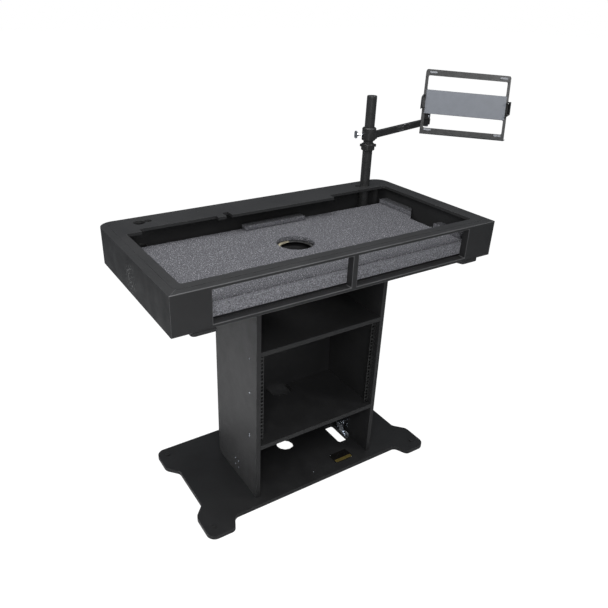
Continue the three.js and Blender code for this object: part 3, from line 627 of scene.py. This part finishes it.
def pedestal_screws():
    """Screws through both panels: two by the bay, two above the lower shelf, four for each latch."""
    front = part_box("left_side_panel")[0].y
    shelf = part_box("lower_shelf")[0].z
    latch_low, latch_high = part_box("left_latch_body")
    middle = (latch_low.y + latch_high.y) / 2
    latch_heights = latch_high.z - LATCH_SCREW_DOWN, latch_low.z + LATCH_SCREW_UP
    rows = [(front + back, height) for back, height in PANEL_SCREWS]
    rows += [(front + SHELF_SCREW_BACK, shelf + up) for up in SHELF_SCREWS_UP]
    rows += [
        (middle + sign * LATCH_SCREW_SPREAD, height)
        for sign in (-1, 1)
        for height in latch_heights
    ]
    for side, inward in INWARD.items():
        low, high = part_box(f"{side}_side_panel")
        outer = low.x if side == "left" else high.x
        places = [(outer, y, z) for y, z in rows]
        screws(f"{side}_panel_screws", PANEL_SCREW, places, (-inward, 0, 0), HIGHLIGHT_AND_SCREW_GREY)


def top_screws():
    """Three that pull the top down."""
    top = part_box("top_frame")[1].z
    places = [(x, y, top) for x, y in TOP_SCREW_SEATS]
    screws("top_screws", TOP_SCREW, places, UP, BLACK_STEEL)


def base_screws():
    """One near the front of the base plate and two further back."""
    low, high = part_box("base_plate")
    x, back = FRONT_BASE_SCREW
    places = [(x, low.y + back, high.z)]
    places += [(x, high.y - BACK_BASE_SCREWS_IN, high.z) for x in BACK_BASE_SCREWS_X]
    screws("base_screws", BASE_SCREW, places, UP, ZINC)


pedestal_screws()
top_screws()
base_screws()

# ---- Laptop stand -------------------------------------------------------------------------

BOLT = {"radius": 6 * MM, "tip_radius": 4.5 * MM, "shoulder": 2.5 * MM, "height": 4 * MM}
BOLT_UP = 14 * MM  # above the post's foot
BOLT_OUT = 12.1 * MM  # in front of the post's axis
BOLT_FACING = Vector((0, -1, 0))


def post_bolt():
    """A bright bolt head low on the swivel post, facing the front although the post is turned."""
    low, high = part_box("swivel_post")
    middle = (low + high) / 2
    place = Vector((middle.x, middle.y, low.z + BOLT_UP)) + BOLT_OUT * BOLT_FACING
    shape = bmesh.new()
    stud(shape, place=place, axis=BOLT_FACING, **BOLT)
    piece("post_bolt", shape, ZINC, "post")


post_bolt()

# ---- Label --------------------------------------------------------------------------------

LABEL_INSET = 3 * MM
BAND_DEPTH = 0.34  # the share of the plate's depth at which the band ends
BAND_SINK = 0.1 * MM
BAND_RISE = 0.2 * MM
LABEL_RIVET = 1.4 * MM
LABEL_RIVET_RISE = 0.1 * MM
LABEL_RIVET_TURNS = 10


def label_details():
    """A blank muted band along the plate's front edge, and four rivets at its corners."""
    low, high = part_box("base_label_plate")
    left, right = low.x + LABEL_INSET, high.x - LABEL_INSET
    front, back = low.y + LABEL_INSET, high.y - LABEL_INSET
    band_back = low.y + BAND_DEPTH * (high.y - low.y)
    shape = bmesh.new()
    box_solid(shape, (left, front, high.z - BAND_SINK), (right, band_back, high.z + BAND_RISE))
    piece("label_band", shape, LABEL_BAND)
    shape = bmesh.new()
    for x in (left, right):
        for y in (front, back):
            place = (x, y, high.z + LABEL_RIVET_RISE)
            screw(shape, LABEL_RIVET, place, UP, LABEL_RIVET_TURNS)
    piece("label_rivets", shape, ZINC)


label_details()

# ---- Latches ------------------------------------------------------------------------------

WING_DOWN = 26 * MM  # below the top of the lever
WING_OUT = 7 * MM  # inwards from the lever's face
WING_SPREAD = 10 * MM  # either side of the lever's middle
WING_LEAN = 0.55, 0.83  # a wing's direction, inwards and upwards
WING_RADIUS = 9 * MM
WING_WIRE = 1.7 * MM
STEM = {"radius": 4 * MM, "tip_radius": 2.5 * MM, "shoulder": 6 * MM, "height": 8 * MM}
RIVET_RADIUS = 2.6 * MM
RIVET_FROM_EDGE = 3.2 * MM
RIVETS_UP = 6 * MM, 18 * MM  # above the foot of the latch's body
PLATE_THICKNESS = 3 * MM
KEEPER_SCREW = 3.4 * MM
KEEPER_SCREW_FROM_END = 9 * MM
KEEPER_SCREW_FROM_EDGE = 8 * MM
KEEPER_SCREW_UP = 3 * MM
SMALL_TURNS = 12


def inner_x(node, inward):
    """The inner face of a node that stands by a side panel."""
    low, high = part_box(node)
    return high.x if inward > 0 else low.x


def latch_wings(side, inward):
    """Two wire wings on a latch's lever, and the stem between them."""
    lever = f"{side}_latch_lever"
    low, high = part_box(lever)
    face = inner_x(lever, inward)
    middle = (low.y + high.y) / 2
    height = high.z - WING_DOWN
    lean = Vector((WING_LEAN[0] * inward, 0, WING_LEAN[1]))
    shape = bmesh.new()
    for sign in (-1, 1):
        place = Vector((face + WING_OUT * inward, middle + sign * WING_SPREAD, height))
        wire_ring(shape, place, Vector((0, sign, 0)), lean, WING_RADIUS, WING_WIRE)
    stud(shape, place=(face, middle, height), axis=(inward, 0, 0), **STEM)
    piece(f"{side}_latch_wings", shape, ZINC, f"{side}_latch")


def latch_rivets(side, inward):
    """Four rivets on the inner face of a latch's wall plate."""
    low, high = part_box(f"{side}_latch_body")
    wall = (low.x if inward > 0 else high.x) + PLATE_THICKNESS * inward
    shape = bmesh.new()
    for y in (low.y + RIVET_FROM_EDGE, high.y - RIVET_FROM_EDGE):
        for up in RIVETS_UP:
            screw(shape, RIVET_RADIUS, (wall, y, low.z + up), (inward, 0, 0), SMALL_TURNS)
    piece(f"{side}_latch_rivets", shape, ZINC)


def keeper_screws(side, inward):
    """Two screws that hold a keeper's foot down on the base plate."""
    keeper = f"{side}_latch_keeper"
    low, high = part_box(keeper)
    x = inner_x(keeper, inward) - KEEPER_SCREW_FROM_EDGE * inward
    shape = bmesh.new()
    for y in (low.y + KEEPER_SCREW_FROM_END, high.y - KEEPER_SCREW_FROM_END):
        screw(shape, KEEPER_SCREW, (x, y, low.z + KEEPER_SCREW_UP), UP, SMALL_TURNS)
    piece(f"{side}_keeper_screws", shape, ZINC)


for side, inward in INWARD.items():
    latch_wings(side, inward)
    latch_rivets(side, inward)
    keeper_screws(side, inward)

# ---- Studio -------------------------------------------------------------------------------

SURROUND = 0.16
SURROUND_TINT = (0.86, 0.92, 1.0, 1)
FLOOR_SIZE = 60
FLOOR_DROP = 0.5 * MM
FLOOR_GREYS = 0.10, 0.11
FLOOR_GLOW = 1.0
FLOOR_BOUNCE = 0.75


def area_light(name, place, target, size, power, spread=180, glossy_only=False):
    """Adds a square light that looks at a target. A glossy-only one shows just in reflections."""
    data = bpy.data.lights.new(name, "AREA")
    data.shape = "SQUARE"
    data.size = size
    data.energy = power
    data.spread = math.radians(spread)
    light = bpy.data.objects.new(name, data)
    bpy.context.scene.collection.objects.link(light)
    light.location = place
    light.visible_diffuse = not glossy_only
    direction = Vector(target) - Vector(place)
    light.rotation_euler = direction.to_track_quat("-Z", "Y").to_euler()


def make_world(scene):
    """White behind the object, but a dim surround for the light that falls on it."""
    world = bpy.data.worlds.new("studio")
    world.use_nodes = True
    tree = world.node_tree
    surround = tree.nodes["Background"]
    surround.inputs["Color"].default_value = SURROUND_TINT
    surround.inputs["Strength"].default_value = SURROUND
    backdrop = tree.nodes.new("ShaderNodeBackground")
    backdrop.inputs["Color"].default_value = WHITE
    backdrop.inputs["Strength"].default_value = 1.0
    choice = tree.nodes.new("ShaderNodeMixShader")
    path = tree.nodes.new("ShaderNodeLightPath")
    tree.links.new(path.outputs["Is Camera Ray"], choice.inputs["Fac"])
    tree.links.new(surround.outputs["Background"], choice.inputs[1])
    tree.links.new(backdrop.outputs["Background"], choice.inputs[2])
    tree.links.new(choice.outputs["Shader"], tree.nodes["World Output"].inputs["Surface"])
    scene.world = world


def make_floor():
    """White as the backdrop to the camera, so that they meet with no line, but dull to the light."""
    bpy.ops.mesh.primitive_plane_add(size=FLOOR_SIZE, location=(0, 0, -FLOOR_DROP))
    floor = bpy.context.object
    floor.name = "studio_floor"
    paper = Finish("studio_paper", roughness=0.9, specular=0.0)
    paper.colour(paper.fade(paper.noise(3.0), *FLOOR_GREYS))
    paper.shader.inputs["Emission Color"].default_value = WHITE
    paper.shader.inputs["Emission Strength"].default_value = FLOOR_GLOW
    dull = paper.add("ShaderNodeBsdfDiffuse")
    dull.inputs["Color"].default_value = opaque(FLOOR_BOUNCE)
    choice = paper.add("ShaderNodeMixShader")
    path = paper.add("ShaderNodeLightPath")
    paper.link(path.outputs["Is Camera Ray"], choice.inputs["Fac"])
    paper.link(dull.outputs["BSDF"], choice.inputs[1])
    paper.link(paper.shader.outputs["BSDF"], choice.inputs[2])
    output = paper.tree.nodes["Material Output"]
    paper.link(choice.outputs["Shader"], output.inputs["Surface"])
    dress(floor, paper.material)


def make_lights():
    """A large soft light above, a key at the left, a low fill, and a glint for the front edges."""
    area_light(
        "overhead",
        place=(-0.4, -0.1, 2.8),
        target=(-0.1, 0, 0.9),
        size=1.9,
        power=46,
    )
    area_light(
        "left_key",
        place=(-1.15, -1.85, 2.0),
        target=(0, 0, 0.8),
        size=1.2,
        power=31,
    )
    area_light(
        "low_left",
        place=(-1.7, 0.35, 0.35),
        target=(-0.26, 0.02, 0.38),
        size=0.5,
        power=1.6,
        spread=44,
    )
    area_light(
        "edge_glint",
        place=(1.5, -1.5, 2.9),
        target=(0, -0.3, 0.97),
        size=0.5,
        power=60,
        glossy_only=True,
    )


bpy.context.scene.view_settings.view_transform = "Standard"
make_world(bpy.context.scene)
make_floor()
make_lights()
